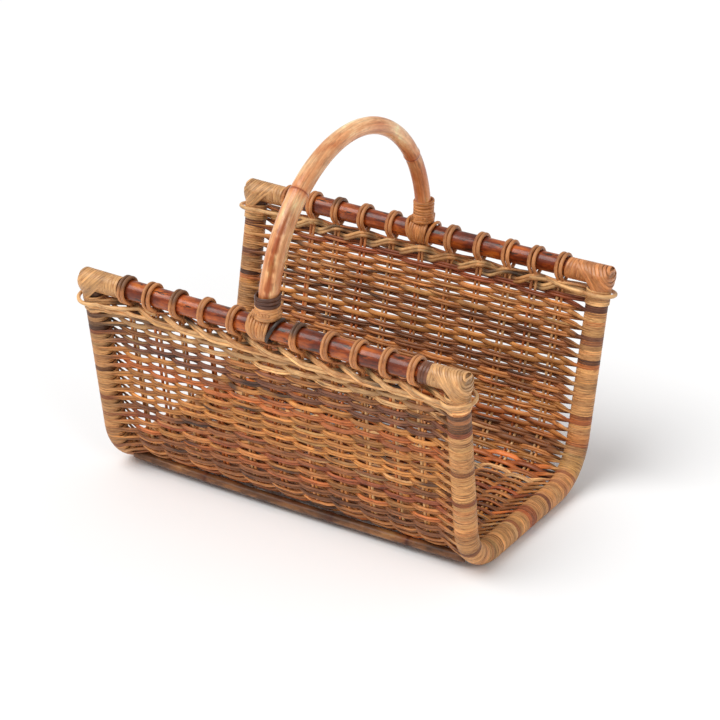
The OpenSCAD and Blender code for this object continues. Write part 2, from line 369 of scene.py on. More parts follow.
def pole(name, skin_tones, scar_amount, stain, rough, coat):
    """A whole rattan pole: mottled skin, lengthwise streaks, stains, scars and a glossy finish."""
    n = Nodes(name)
    deep, middle, pale = skin_tones
    brightest = np.minimum(pale * [1.25, 1.6, 1.7], 0.85)
    tone = n.attribute("tone").outputs["Color"]
    mottle = n.grain((22, 60, 60), 5.0, 0.62)
    streaks = n.grain((9, 320, 320), 4.0)
    skin = n.ramp(mottle, (0.3, deep), (0.46, middle), (0.6, pale), (0.7, brightest))
    light = n.ramp(streaks, (0.3, grey(0.66)), (0.5, grey(1.0)), (0.7, grey(1.2)))
    colour = n.mix("MULTIPLY", 1.0, skin, light)
    colour = n.mix("MULTIPLY", 1.0, colour, tone)
    stains = n.grain((7, 75, 75), 4.0, 0.75)
    stained = n.ramp(stains, (0.56, grey(0.0)), (0.64, grey(stain)))
    colour = n.mix("MIX", stained, colour, tuple(lin(118, 50, 24)))
    scars = n.grain((40, 150, 150), 3.0, 0.7)
    scar = n.ramp(scars, (0.58, grey(0.0)), (0.65, grey(scar_amount)))
    colour = n.mix("MIX", scar, colour, tuple(lin(48, 30, 22)))
    n.link(colour, n.shader.inputs["Base Color"])
    n.link(n.span(mottle, rough + 0.1, rough - 0.06), n.shader.inputs["Roughness"])
    n.finish(coat, 0.14, 0.35)
    n.bump(n.grain((30, 420, 420)), 0.25, 0.6 * MM)
    return n.material


def plain(name, colour, rough, metallic=0.0):
    """A CAD node's own material, on its object coordinates."""
    n = Nodes(name)
    at = n.add("ShaderNodeTexCoord").outputs["Object"]
    mottle = n.noise(at, 180.0, 4.0, 0.6)
    skin = n.ramp(mottle, (0.35, colour * 0.6), (0.65, colour * 1.3))
    n.link(skin, n.shader.inputs["Base Color"])
    n.link(n.span(mottle, rough + 0.1, rough - 0.1), n.shader.inputs["Roughness"])
    n.shader.inputs["Metallic"].default_value = metallic
    n.bump(mottle, 0.2, 0.4 * MM)
    return n.material


WEAVER = cane("weaver_cane", 0.46, 0.06, 0.75, 0.5)
STAKE = cane("stake_cane", 0.45, 0.15, 0.5, 0.4)
BORDER = cane("border_cane", 0.48, 0.1, 0.55, 0.5)
RING = cane("ring_cane", 0.42, 0.15, 0.45, 0.4)
PEEL = cane("binding_peel", 0.4, 0.2, 0.35, 0.5)
LASHING = cane("lashing_peel", 0.4, 0.2, 0.4, 0.5)

RAIL_TONES = (lin(46, 15, 5), lin(112, 42, 12), lin(172, 84, 30))
RUNNER_TONES = (lin(58, 36, 20), lin(104, 66, 38), lin(146, 96, 54))
HANDLE_TONES = (lin(194, 104, 56), lin(214, 138, 86), lin(232, 170, 116))
RAIL = pole("rail_pole", RAIL_TONES, 0.95, 0.4, 0.28, 0.2)
RUNNER = pole("runner_pole", RUNNER_TONES, 0.6, 0.2, 0.45, 0.12)
HANDLE = pole("handle_pole", HANDLE_TONES, 0.25, 0.3, 0.34, 0.25)

# ---------------------------------------------------------------- tones

TAN = lin(196, 130, 75)
HONEY = lin(202, 138, 75)
ORANGE = lin(198, 114, 60)
RED = lin(160, 86, 52)
MAUVE = lin(130, 82, 60)
OLIVE = lin(190, 150, 96)
CREAM = lin(224, 178, 126)
DARK = lin(58, 42, 36)
LOOP = lin(212, 146, 94)
BROWN = lin(152, 96, 58)
WALL_TONES = (TAN, HONEY, ORANGE, RED, BROWN, OLIVE, TAN, CREAM, BROWN, MAUVE, TAN, HONEY)

# Bands of colour wound on the frames' legs: millimetres down from the rail, from and to, and the tone.
FRONT_BANDS = (
    (36, 45, MAUVE * 0.6),
    (52, 64, MAUVE * 0.42),
    (64, 71, RED * 0.85),
    (121, 128, BROWN * 0.55),
    (166, 173, RED * 0.7),
)
BACK_BANDS = (
    (34, 48, MAUVE * 0.6),
    (78, 90, MAUVE * 1.1),
    (108, 117, MAUVE * 0.42),
    (117, 124, ORANGE * 0.85),
    (186, 198, RED * 0.75),
    (214, 220, RED * 0.8),
)
# The same round the bends and under the base: millimetres from the middle, the front's being negative.
BASE_BANDS = (
    (-150, -145, MAUVE * 0.7),
    (-112, -84, OLIVE * 1.05),
    (-40, -28, RED * 0.9),
    (-6, 12, RED),
    (42, 50, MAUVE * 0.8),
    (86, 100, RED * 0.9),
    (118, 146, OLIVE * 1.1),
    (164, 172, RED * 0.8),
)


def band_tone(s):
    """The colour wound on the frames at level s, and how much of it shows."""
    for low, high, tone in BASE_BANDS:
        if low * MM < s < high * MM:
            return tone, 0.75
    for low, high, tone in FRONT_BANDS if s < 0 else BACK_BANDS:
        if low * MM < TOP - abs(s) < high * MM:
            return tone, 0.85
    return CREAM * [0.94, 0.86, 0.76], 0.75 if abs(s) > BEND_END else 0.62


def varied(rng, x, base, amount=0.2):
    """A strand's tone along x, drifting lighter and darker, towards a second colour here and there."""
    drift = ripple(rng, x, 0.45)
    other = WALL_TONES[rng.integers(len(WALL_TONES))]
    share = smooth(ripple(rng, x, 0.6) * 0.9)[:, None] * 0.7
    tone = base * (1 - share) + other * share
    return tone * (1 + amount * drift)[:, None]


def stepped(rng, x, tone, amount):
    """Each over or under of a strand a little lighter or darker than the next."""
    beyond = FRAME_X + 20 * MM
    stops = np.array([-beyond, *STAKES, beyond])
    edges = (stops[1:] + stops[:-1]) / 2
    level = rng.uniform(1 - amount, 1 + amount, len(edges) + 1)
    return tone * level[np.searchsorted(edges, x)][:, None]


def darkened(rng, x, tone, chance):
    """Now and then a near-black stretch."""
    if rng.random() < chance:
        middle = rng.uniform(-0.24, 0.24)
        half = rng.uniform(0.008, 0.028)
        share = smooth(1.4 - np.abs(x - middle) / half)[:, None] * 0.85
        tone = tone * (1 - share) + DARK * share
    return tone


# ---------------------------------------------------------------- weaving

PITCH = 6.15 * MM  # from one row to the next
RIM = 37.5 * MM  # the top row, down from the rail
ROW_OFF = 3.35 * MM  # a row's middle, out from the stakes'
ROW_WIDTH = 3.55 * MM
ROW_HEIGHT = 1.65 * MM
WRAP_HEIGHT = 0.75 * MM
WRAP_OVERLAP = 1.3
END_TURNS = 2
DOUBLED = 0.7  # the share of rows that are two thinner strands
FLATTENED = 18 * MM  # over which a row flattens on its way to the frame


def crossing(x0, off0, x1, off1):
    """From one stake pair to the next, in front of one and behind the other."""
    hold = 0.2
    t = np.linspace(0, 1, 10)[1:-1]
    turn = np.clip((t - hold) / (1 - 2 * hold), 0, 1)
    share = (1 - np.cos(math.pi * turn)) / 2
    return x0 + (x1 - x0) * t, off0 + (off1 - off0) * share


def onto_frame(x0, off0, x1, off1, points):
    """From the last stake pair on to the right-hand frame, meeting it along its tangent."""
    slope = MEETING_SLOPE * np.sign(off1)
    t = np.linspace(0, 1, points)[:-1]
    bend = t**3 - t**2
    return x0 + (x1 - x0) * t, off0 + (off1 - off0) * smooth(t) + bend * slope * (x1 - x0)


def end_turns(s, off_sign, pitch):
    """The turns of a row's end round the right-hand frame, up to its tuck."""
    count = 18 * END_TURNS
    angle = MEETING_ANGLE - np.linspace(0, 2 * math.pi * END_TURNS - 0.6, count)
    jog = smooth((-angle - 2.6) / 1.1)
    level = s + pitch * (jog - 0.5) * 0.5
    r = np.full(count, WRAP_R)
    r[-4:] -= np.array([0.3, 0.8, 1.4, 2.0]) * MM
    return FRAME_X + r * np.cos(angle), level, off_sign * r * np.sin(angle)


def row_end(x, off, s, pitch):
    """A row from its last stake pair on to the right-hand frame and round it."""
    turn_x, turn_s, turn_off = end_turns(s, -np.sign(off), pitch)
    lead_x, lead_off = onto_frame(x, off, turn_x[0], turn_off[0], 9)
    lead_s = s + (turn_s[0] - s) * np.linspace(0, 1, len(lead_x))
    return np.stack(
        [
            np.concatenate([lead_x, turn_x]),
            np.concatenate([lead_s, turn_s]),
            np.concatenate([lead_off, turn_off]),
        ]
    )


def row_line(offs, s, pitch):
    """A row from frame to frame: how far along the basket, up the wall and off it."""
    left = row_end(-STAKES[0], offs[0], s, pitch)[:, ::-1] * [[-1], [1], [1]]
    right = row_end(STAKES[-1], offs[-1], s, pitch)
    between = []
    for k in range(len(STAKES) - 1):
        x, off = crossing(STAKES[k], offs[k], STAKES[k + 1], offs[k + 1])
        between.append(np.stack([x, np.full(len(x), s), off]))
    return np.concatenate([left, *between, right], 1)


def weaver(strands, rng, s, sign, base, pitch, wall_width):
    """One row, wound round the left frame, woven through the stake pairs and wound round the right."""
    offs = [sign * (-1) ** k * ROW_OFF * rng.uniform(0.94, 1.12) for k in range(len(STAKES))]
    x, level, off = row_line(offs, s, pitch)
    inside = smooth((FRAME_X - 10 * MM - np.abs(x)) / FLATTENED)
    on_frame = 1 - inside
    level = level + inside * (0.5 * MM * ripple(rng, x, 0.2) + 1.2 * MM * np.sin(9 * x + 3 * s))
    path = place(x, level, off + inside * 1.2 * MM * np.sin(11 * x + 14 * s))
    up = outward(path, level)
    bent = (np.abs(level) > BASE_HALF) & (np.abs(level) < BEND_END)
    curve = np.where(bent, 1 / BEND_R, 0.0)
    wrap_width = 0.25 * pitch * (1 + curve * off) * WRAP_OVERLAP
    width = wall_width * inside + wrap_width * on_frame
    height = ROW_HEIGHT * inside + WRAP_HEIGHT * on_frame
    end_tone, pull = band_tone(s)
    end_tone = end_tone * np.where(x < 0, 0.82, 1.0)[:, None]
    base = base + (end_tone - base) * (on_frame * pull)[:, None]
    if rng.random() < DOUBLED:
        for half in (-0.5, 0.5):
            tone = varied(rng, x, base * rng.uniform(0.76, 1.12))
            tone = stepped(rng, x, darkened(rng, x, tone, 0.35), 0.14)
            shift = half * width[:, None] * along(level)
            strands.sweep(path + shift, up, width * 0.53, height * 0.95, tone)
    else:
        tone = stepped(rng, x, darkened(rng, x, varied(rng, x, base), 0.4), 0.16)
        strands.sweep(path, up, width, height, tone)


def row_tones(count, rng):
    """Base tones that hold for a few rows at a time."""
    tones = []
    while len(tones) < count:
        tone = WALL_TONES[rng.integers(len(WALL_TONES))]
        for _ in range(rng.integers(1, 5)):
            tones.append(tone * rng.uniform(0.68, 1.16))
    return tones[:count]


def zone(s):
    """Which of the trough's five parts a row at s is in."""
    if abs(s) < BASE_HALF:
        return "base"
    side = "front" if s < 0 else "back"
    return f"bend_{side}" if abs(s) < BEND_END else f"wall_{side}"


def weave():
    """All the rows from rim to rim, shared out over the five parts of the trough."""
    reach = TOP - RIM
    count = int(2 * reach / PITCH) + 1
    levels = np.linspace(-reach, reach, count)
    pitch = levels[1] - levels[0]
    rng = np.random.default_rng(11)
    tones = row_tones(count, rng)
    parts = {name: Strands() for name in ("wall_front", "bend_front", "base", "bend_back", "wall_back")}
    for k, s in enumerate(levels):
        width = ROW_WIDTH * rng.uniform(0.88, 1.1)
        weaver(parts[zone(s)], rng, s, (-1) ** k, tones[k], pitch, width)
    for name, strands in parts.items():
        nodes = (f"weave_{name}", f"wrap_{name}_left", f"wrap_{name}_right")
        strands.build(f"weavers_{name}", WEAVER, "weaver_cane", *nodes)


# ---------------------------------------------------------------- stakes and borders

ROD_R = 1.9 * MM
LOOP_ROD_R = 2.5 * MM
ROD_APART = 2.7 * MM  # each rod of a pair from the pair's middle
HIDDEN_LOOP = 6  # the pair whose loops the handle's lashing covers
DARK_LOOPS = {-1: (1, 3, 7), 1: (3,)}
DARKEST_LOOP = 7


def stake_path(x, rng, looped):
    """One rod: over the front rail, down the wall, under the base and up over the back rail."""
    ring = RAIL_R + 2.6 * MM
    away = RAIL_R + 7 * MM
    edge = math.acos(ring / away)
    tail = TOP - away - 8 * MM
    down = np.linspace(tail, BEND_END, 8)
    bend = np.linspace(BEND_END, BASE_HALF, 10)[1:]
    base = np.linspace(BASE_HALF, 0, 5)[1:]
    straight = np.concatenate([down, bend, base])
    on_wall = np.zeros(len(straight))
    if looped:
        angle = np.linspace(edge - math.pi, math.pi - edge, 26)
        loop = TOP + ring * np.cos(angle)
        half_s = np.concatenate([[tail, TOP - away], loop, [TOP - away], straight])
        half_off = np.concatenate([[-2.4 * MM, -1.8 * MM], ring * np.sin(angle), [1.6 * MM], on_wall])
    else:
        half_s = np.concatenate([[TOP - RAIL_R - 1 * MM], straight])
        half_off = np.concatenate([[1.6 * MM], on_wall])
    half_r = np.full(len(half_s), LOOP_ROD_R)
    half_r[-len(straight) :] = ROD_R
    s = np.concatenate([-half_s, half_s[::-1][1:]])
    off = np.concatenate([half_off, half_off[::-1][1:]])
    radius = np.concatenate([half_r, half_r[::-1][1:]])
    lean = rng.uniform(-1.5, 1.5) * MM * np.sin(6 * s + rng.uniform(0, 6))
    return place(x + lean, s, off), s, radius


def stake_tone(rng, s, number):
    """A rod's tone: cane in the weave, redder in the loops, and nearly black on some loops' tops."""
    base = (TAN, ORANGE, HONEY, CREAM * 0.85, LOOP)[rng.integers(5)] * rng.uniform(0.9, 1.15)
    tone = base * (1 + 0.15 * ripple(rng, s, 0.5))[:, None]
    front_tone = LOOP * rng.uniform(0.78, 1.05)
    back_tone = LOOP * rng.uniform(0.8, 1.05)
    loop_tone = np.where(s[:, None] < 0, front_tone, back_tone)
    crown = smooth((np.abs(s) - (TOP + 4 * MM)) / (9 * MM))[:, None]
    dark = np.where(s < 0, number in DARK_LOOPS[-1], number in DARK_LOOPS[1])[:, None]
    darkness = np.where(dark, 0.9 if number == DARKEST_LOOP else 0.7, 0.2)
    loop_tone = loop_tone + (DARK - loop_tone) * crown * darkness
    ring = smooth((np.abs(s) - (TOP - 34 * MM)) / (10 * MM))[:, None]
    return tone * (1 - ring) + loop_tone * ring


def stakes():
    """Eleven pairs of rods."""
    for number, x in enumerate(STAKES, 1):
        strands = Strands()
        rng = np.random.default_rng(100 + number)
        for side in (-1, 1):
            path, s, radius = stake_path(x + side * ROD_APART, rng, number != HIDDEN_LOOP)
            up = np.tile([1.0, 0, 0], (len(path), 1))
            strands.sweep(path, up, radius, radius, stake_tone(rng, s, number))
        strands.build(f"stakes_{number:02d}", STAKE, "stake_cane", f"stake_pair_{number:02d}")


BORDER_S = TOP - 28 * MM
BORDER_R = 2.45 * MM
BORDER_END_R = 1.6 * MM
# One strand over three stake pairs: its height and its stand-off in millimetres, at steps of the way.
BORDER_LEVEL = ((0, 0.3, 1.1, 2.0, 2.4, 3), (6.8, 5.8, -2.2, -5.4, -5.8, 6.8))
BORDER_OFF = ((0, 0.1, 0.45, 1.2, 1.8, 2.05, 2.45, 3), (-5, -4.6, 3, 10.6, 7, 3.4, -5, -5))
BORDER_TONES = (CREAM * 1.06, (TAN + CREAM * 2) / 3, CREAM * 0.92)


def stake_steps(points):
    """Steps from frame to frame, one to a stake pair, and where each is along the basket."""
    stops = np.array([-FRAME_X, *STAKES, FRAME_X])
    steps = np.linspace(0, len(stops) - 1, points)
    return steps, np.interp(steps, np.arange(len(stops)), stops)


def border_ends(x, s, off):
    """The border strand's middle with its ends wound once round each frame."""
    keep = np.abs(x) <= STAKES[-1] + 1 * MM
    x, s, off = x[keep], s[keep], off[keep]
    angle = MEETING_ANGLE - np.linspace(0, 2 * math.pi * 1.05, 20)
    turn_x = FRAME_X + (WRAP_R + 0.6 * MM) * np.cos(angle)
    turn_off = (WRAP_R + 0.6 * MM) * np.sin(angle)
    ends = []
    for side, edge in ((-1, 0), (1, -1)):
        lead_x, lead_off = onto_frame(abs(x[edge]), off[edge], turn_x[0], turn_off[0], 8)
        level = s[edge] + (s[edge] - BORDER_S) * np.linspace(0, 0.5, len(lead_x) + len(turn_x))
        end_x = side * np.concatenate([lead_x, turn_x])
        ends.append(np.stack([end_x, level, np.concatenate([lead_off, turn_off])]))
    left, right = ends
    middle = np.stack([x, s, off])[:, 1:-1]
    return np.concatenate([left[:, ::-1], middle, right], 1)


def border_strand(strands, rng, side, phase):
    """One pair of strands: over two stake pairs, then down behind one."""
    steps, x = stake_steps(181)
    way = (steps - phase) % 3
    level = np.interp(way, *BORDER_LEVEL) * MM
    off = np.interp(way, *BORDER_OFF) * MM
    for _ in range(7):
        level = eased(level)
        off = eased(off)
    wound_x, wound_s, wound_off = border_ends(x, BORDER_S + level, off)
    s = wound_s * side
    path = place(wound_x, s, wound_off)
    up = outward(path, s)
    base = BORDER_TONES[phase] * rng.uniform(0.92, 1.05)
    radius = np.where(np.abs(wound_x) > FRAME_X - 20 * MM, BORDER_END_R, BORDER_R)
    # Painted highlight and shade: each strand is painted brightest where it comes out from under the one
    # above, and darker towards its tuck.
    painted_highlight = 1.2 - 0.14 * np.interp(wound_x, x, way)
    # Painted shade: darker where the strand lies in close against the stakes, behind the others.
    painted_shade = 0.3 + 0.7 * smooth(np.abs(wound_off + 0.5 * MM) / (4.5 * MM))
    for half in (-1, 1):
        tone = varied(rng, wound_x, base * (1.0 + 0.12 * half), 0.14) * (painted_highlight * painted_shade)[:, None]
        tone = stepped(rng, wound_x, tone, 0.1)
        for _ in range(3 if side > 0 else 1):
            tone = darkened(rng, wound_x, tone, 0.8 if side > 0 else 0.4)
        apart = 0.86 + 0.1 * ripple(rng, wound_x, 0.16)
        shift = (half * radius * apart)[:, None] * along(s)
        strands.sweep(path + shift, up, radius, radius, tone)


def border(side):
    """A rope of three pairs of strands, under a thin edge strand."""
    strands = Strands()
    rng = np.random.default_rng(40 + side)
    for phase in range(3):
        border_strand(strands, rng, side, phase)
    steps, x = stake_steps(120)
    off = 4.4 * MM * np.cos(math.pi * steps)
    s = np.full(len(x), (BORDER_S + 8.6 * MM) * side)
    path = place(x, s, off)
    tone = varied(rng, x, (RED + TAN) / 2, 0.2)
    strands.sweep(path, outward(path, s), 1.6 * MM, 1.5 * MM, tone)
    strands.build(f"border_strands_{FACING[side]}", BORDER, "border_cane", f"border_{FACING[side]}")


def corner_ring(side, end):
    """One strand that leaves the border, hoops round the frame's leg and comes back inside."""
    strands = Strands()
    rng = np.random.default_rng(60 + 2 * side + end)
    radius = 21.6 * MM
    angle = np.radians(np.linspace(128, -128, 26))
    x = FRAME_X + radius * np.cos(angle)
    off = radius * np.sin(angle)
    lead = np.linspace(0, 1, 15)[:-1]
    start = STAKES[-1] - 42 * MM
    lead_x = start + (x[0] - start) * lead
    lead_off = -5 * MM + (off[0] + 5 * MM) * smooth(lead * 1.15)
    x = np.concatenate([lead_x, x, lead_x[::-1]])
    off = np.concatenate([lead_off, off, -lead_off[::-1]])
    s = np.full(len(x), side * (TOP - 22.5 * MM))
    path = place(end * x, s, off)
    tone = CREAM * rng.uniform(0.85, 1.0) * (1 + 0.1 * ripple(rng, x, 0.1))[:, None]
    strands.sweep(path, outward(path, s), 2.7 * MM, 2.5 * MM, tone)
    corner = f"{FACING[side]}_{HAND[end]}"
    strands.build(f"ring_{corner}", RING, "ring_cane", f"corner_ring_{corner}")


# ---------------------------------------------------------------- corner bindings

JOINT_ROUNDING = 4 * MM
JOINT_BLEND = 7 * MM
PEEL_HEIGHT = 0.45 * MM
WINDING_WIDTH = 2.35 * MM
WINDING_HEIGHT = 0.4 * MM
WINDING_START = 215 * MM
WINDING_PITCH = 4.3 * MM


def joint_depth(points, swell):
    """How far points are outside the rail's end and the frame's top, in the rail's own axes."""
    x, y, z = points[..., 0], points[..., 1], points[..., 2]
    end = RAIL_END - FRAME_X - 0.6 * MM
    radial = np.hypot(y, z) - (RAIL_R + swell) + JOINT_ROUNDING
    lengthwise = x - end + JOINT_ROUNDING
    outside = np.hypot(np.maximum(radial, 0), np.maximum(lengthwise, 0))
    rail = outside + np.minimum(np.maximum(radial, lengthwise), 0) - JOINT_ROUNDING
    down = y * math.sin(LEAN) + z * math.cos(LEAN)
    sideways = np.hypot(x, y * math.cos(LEAN) - z * math.sin(LEAN))
    frame_top = np.maximum(sideways - 14.6 * MM - swell, down)
    frame_top = np.maximum(frame_top, -down - 34 * MM)
    h = np.clip(0.5 + 0.5 * (frame_top - rail) / JOINT_BLEND, 0, 1)
    return frame_top * (1 - h) + rail * h - JOINT_BLEND * h * (1 - h)


def joint_normal(points):
    """The joint's outward direction at points."""
    moves = np.eye(3) * 1.5 * MM
    slopes = [joint_depth(points + move, 0) - joint_depth(points - move, 0) for move in moves]
    return unit(np.stack(slopes, -1))


def joint_reach(centre, rays, swell):
    """How far the joint's surface is from its centre along each ray."""
    reach = np.linspace(0, 75 * MM, 301)
    depth = joint_depth(centre + reach[None, :, None] * rays[:, None], swell)
    return reach[len(reach) - 1 - np.argmax(depth[:, ::-1] < 0, axis=1)]


def taut_loop(top_x, slope, swell):
    """A taut closed loop round the joint, in the slanting plane through the rail's top at top_x."""
    down = np.array([math.cos(slope), 0, -math.sin(slope)])
    across = np.array([0, 1.0, 0])
    probe = np.array([top_x, 0, RAIL_R]) + np.linspace(0, 70 * MM, 90)[:, None] * down
    centre = probe[np.argmin(joint_depth(probe, swell))]
    angle = np.linspace(0, 2 * math.pi, 96, endpoint=False)
    rays = np.cos(angle)[:, None] * down + np.sin(angle)[:, None] * across
    reach = joint_reach(centre, rays, swell)
    flat = np.stack([reach * np.cos(angle), reach * np.sin(angle)], 1)
    hull = flat[convex_hull_2d([Vector(p) for p in flat])]
    closed = np.concatenate([hull, hull[:1]])
    run = run_of(closed)
    at = np.linspace(0, run[-1], 72, endpoint=False)
    loop = np.stack([np.interp(at, run, closed[:, 0]), np.interp(at, run, closed[:, 1])], 1)
    for _ in range(2):
        loop = (np.roll(loop, 1, 0) + 2 * loop + np.roll(loop, -1, 0)) / 4
    loop = np.roll(loop, -int(np.argmin(np.arctan2(loop[:, 1], -loop[:, 0]) ** 2)), 0)
    return centre + loop[:, :1] * down + loop[:, 1:] * across


def to_corner(points, side, end):
    """From the rail's own axes, outwards and up, to one corner of the basket."""
    x = end * (FRAME_X + points[..., 0])
    y = side * (RAIL_Y + points[..., 1])
    return np.stack([x, y, RAIL_Z + points[..., 2]], -1)


def rail_windings(strands, rng, side, end, base):
    """Turns of peel side by side round the rail, the first few darker at the near right corner."""
    for k, x in enumerate(np.arange(WINDING_START, FRAME_X, WINDING_PITCH)):
        angle = np.linspace(0, 2 * math.pi, 40, endpoint=False)
        r = RAIL_R + 0.35 * MM
        slant = 1.4 * MM * np.sin(angle)
        points = np.stack([x - FRAME_X + slant, r * np.cos(angle), r * np.sin(angle)], 1)
        dark = side < 0 < end and k < 3
        tone = (MAUVE * 0.75 if dark else base) * rng.uniform(0.84, 1.06)
        path = to_corner(points, side, end)
        strands.sweep(path, points * [0, side, 1], WINDING_WIDTH, WINDING_HEIGHT, tone, closed=True)


def corner_binding(side, end):
    """Peel wound round the rail, then crossed slantwise over the joint until it is covered."""
    strands = Strands()
    rng = np.random.default_rng(80 + 2 * side + end)
    far_right = side > 0 and end > 0
    base = (ORANGE * 2 + CREAM) / 3 if far_right else CREAM * [0.86, 0.8, 0.76]
    strips = 9 if far_right else 12
    top = np.linspace(-31 * MM, 12 * MM, strips)
    slope = np.radians(np.linspace(44, 56, strips))
    core = np.stack([taut_loop(x, a, 0.2 * MM) for x, a in zip(top, slope)])
    core = to_corner(core if end * side < 0 else core[::-1], side, end)
    # The core under the strips is a darker copy of the peel's tone, painted shade in the grooves between the
    # strips.
    strands.gather(core, np.tile(base * 0.55, (core.size // 3, 1)), core.reshape(-1, 3))
    rail_windings(strands, rng, side, end, base)
    for k, (x, a) in enumerate(zip(top, slope)):
        points = taut_loop(x, a + rng.uniform(-0.02, 0.02), (0.6 + 0.04 * k) * MM)
        path = to_corner(points, side, end)
        up = to_corner(points + joint_normal(points), side, end) - path
        around = np.linspace(0, 1, len(path))
        tone = base * rng.uniform(0.72, 1.12) * (1 + 0.08 * ripple(rng, around, 1.0))[:, None]
        width = rng.uniform(1.7, 1.95) * MM * 12 / strips
        strands.sweep(path, up, width, PEEL_HEIGHT, tone, closed=True, square=0.8)
    corner = f"{FACING[side]}_{HAND[end]}"
    strands.build(f"binding_{corner}", PEEL, "binding_peel", f"corner_binding_{corner}")


# ---------------------------------------------------------------- poles

HANDLE_TAPER = 0.19
HANDLE_TOP_TINT = np.array([0.14, 0.46, 0.78])
HANDLE_FOOT_TINT = np.array([0.1, 0.3, 0.42])
STREAK_LOW = 10 * MM
STREAK_HIGH = 160 * MM
STREAK_ANGLE = math.radians(160)
STREAK_TINT = np.array([0.46, 0.22, 0.11])


def bell(x, width):
    """A smooth hump of height one at zero."""
    return np.exp(-((x / width) ** 2))


def pole_strand(strands, path, up, radius, rng, nodes, sides=32, taper=0.0, dress=None):
    """A pole with a slight swelling and a dark line at each node, dressed with more tone if asked."""
    run = run_of(path)
    r = radius * (1 + 0.012 * ripple(rng, run, 0.35)) * (1 - taper * smooth(run / run[-1]))
    tone = np.ones((1, 3)) * (1 + 0.1 * ripple(rng, run, 0.4))[:, None]
    for at in nodes:
        r = r + 0.7 * MM * bell(run - at, 3.2 * MM) - 0.3 * MM * bell(run - at - 6 * MM, 3 * MM)
        line = bell(run - at - 2 * MM, 1.2 * MM)[:, None]
        blush = bell(run - at, 7 * MM)[:, None]
        tone = tone * (1 - line * [0.6, 0.82, 0.9]) * (1 - blush * [0.12, 0.34, 0.42])
    r[0] *= 0.93
    r[-1] *= 0.93
    if dress:
        tone = dress(rng, run, tone, sides)
    strands.sweep(path, up, r, r, tone, sides=sides)


def rails():
    """Two poles along the tops of the walls."""
    for side in (-1, 1):
        strands = Strands()
        rng = np.random.default_rng(20 + side)
        x = np.linspace(-RAIL_END + 7 * MM, RAIL_END - 7 * MM, 200)
        wave = 0.6 * MM * ripple(rng, x, 0.7)
        path = np.stack([x, side * RAIL_Y + wave, RAIL_Z + wave * 0.5], 1)
        up = np.tile([0.0, 0, 1], (len(x), 1))
        pole_strand(strands, path, up, RAIL_R - 0.5 * MM, rng, (0.14, 0.35, 0.47))
        strands.build(f"rail_{FACING[side]}", RAIL, "rail_pole", f"top_rail_{FACING[side]}")


def runners():
    """Two poles under the long edges, a little bowed."""
    y = (RUNNER_HIGH[1] + RUNNER_LOW[1]) / 2
    z = (RUNNER_HIGH[2] + RUNNER_LOW[2]) / 2
    r = (RUNNER_HIGH[2] - RUNNER_LOW[2]) / 2
    for side in (-1, 1):
        strands = Strands()
        rng = np.random.default_rng(24 + side)
        x = np.linspace(-RUNNER_HIGH[0], RUNNER_HIGH[0], 140)
        bow = 3 * MM * (x / RUNNER_HIGH[0]) ** 2
        path = np.stack([x, np.full(len(x), side * y), z + bow], 1)
        up = np.tile([0.0, 0, 1], (len(x), 1))
        pole_strand(strands, path, up, r - 0.4 * MM, rng, (0.11, 0.3, 0.41), 24)
        strands.build(f"runner_{FACING[side]}", RUNNER, "runner_pole", f"bottom_rail_{FACING[side]}")


def handle_tone(rng, run, tone, sides):
    """Paler over the top, redder down the far leg, with a dark ragged streak up the near one."""
    tone = tone * (1 + np.sin(math.pi * run / run[-1])[:, None] ** 2 * HANDLE_TOP_TINT)
    tone = tone * (1 - smooth((run - run[-1] * 0.8) / 0.03)[:, None] * HANDLE_FOOT_TINT)
    turn = 2 * math.pi * (np.arange(sides) + 0.5) / sides
    away = np.abs(turn[None] - STREAK_ANGLE - 0.09 * ripple(rng, run, 0.07)[:, None])
    width = 0.3 * (1 + 0.4 * ripple(rng, run, 0.022))[:, None]
    fade_in = smooth((run - STREAK_LOW) / 0.02)[:, None]
    fade_out = smooth((STREAK_HIGH - run) / 0.05)[:, None]
    share = smooth(1.5 - away / width) * fade_in * fade_out
    return tone[:, None] * (1 - share[..., None] * (1 - STREAK_TINT))


def handle():
    """The arch: two short legs and half a circle, thinner towards the back."""
    strands = Strands()
    rng = np.random.default_rng(31)
    foot = HANDLE_HIGH[2] - HANDLE_R - RAIL_Y
    angle = np.linspace(0, math.pi, 400)[6:-6]
    leg = np.linspace(RAIL_Z + RAIL_R + 1 * MM, foot + 3 * MM, 6)[:-1]
    y = np.concatenate([np.full(5, -RAIL_Y), -RAIL_Y * np.cos(angle), np.full(5, RAIL_Y)])
    z = np.concatenate([leg, foot + RAIL_Y * np.sin(angle), leg[::-1]])
    path = np.stack([np.zeros(len(y)), y, z], 1)
    up = np.tile([1.0, 0, 0], (len(y), 1))
    radius = HANDLE_R - 0.4 * MM
    pole_strand(strands, path, up, radius, rng, (0.157, 0.456), taper=HANDLE_TAPER, dress=handle_tone)
    strands.build("handle_arch", HANDLE, "handle_pole", "handle")


# ---------------------------------------------------------------- handle lashings

LEG_SCALE = {-1: 1.0, 1: 0.84}  # the handle's thickness at its front and back foot
LASH_WIDTH = 2.5 * MM
LASH_HEIGHT = 1.5 * MM


def leg_turn(strands, side, level, flare, slant, tone):
    """One turn of cane round a handle leg, level above the rail's centre."""
    angle = np.linspace(0, 2 * math.pi, 40, endpoint=False)
    r = HANDLE_R * LEG_SCALE[side] + LASH_HEIGHT * 0.9 + flare
    rise = level + slant * np.sin(angle + 2 * flare / MM)
    y = side * (RAIL_Y - 0.5 * MM) + r * np.sin(angle)
    path = np.stack([r * np.cos(angle), y, RAIL_Z + rise], 1)
    up = np.stack([np.cos(angle), np.sin(angle), 0 * angle], 1)
    strands.sweep(path, up, LASH_WIDTH, LASH_HEIGHT, tone, closed=True)


